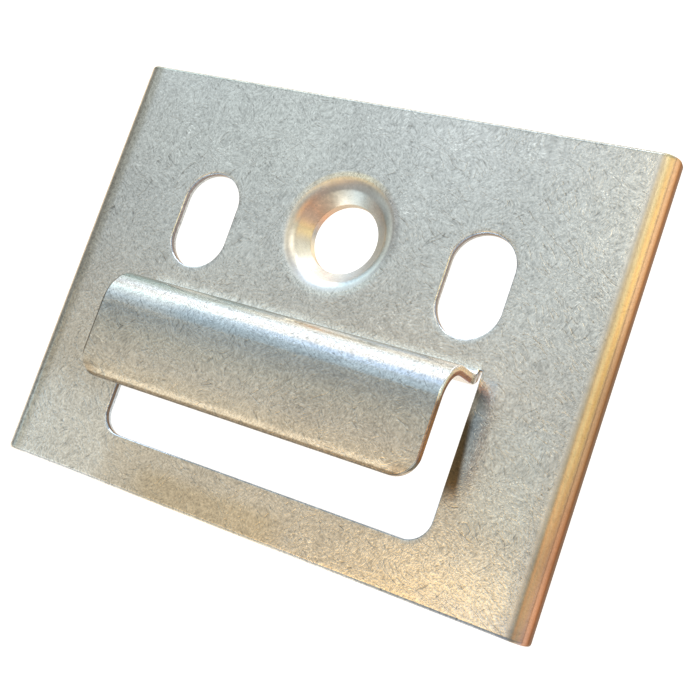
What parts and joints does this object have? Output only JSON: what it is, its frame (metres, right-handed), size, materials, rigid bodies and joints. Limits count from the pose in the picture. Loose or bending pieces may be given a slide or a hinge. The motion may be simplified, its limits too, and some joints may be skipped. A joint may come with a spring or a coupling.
{
  "type": "stamped metal bracket",
  "caption": "Hanging bracket folded from one steel sheet: a face plate with side flanges, a sunk screw hole, adjusting slots and a wide hook tongue.",
  "frame": {"origin": "under the middle of the face plate, in the plane of the flanges' free edges, which is the wall", "axes": "+X across the plate, +Y up on the wall, +Z out of the wall"},
  "size_m": [0.0484, 0.0362, 0.0081],
  "materials": {
    "zinc_plate": "satin"
  },
  "bodies": {
    "root": {"hanging_plate": "zinc_plate"}
  },
  "joints": []
}
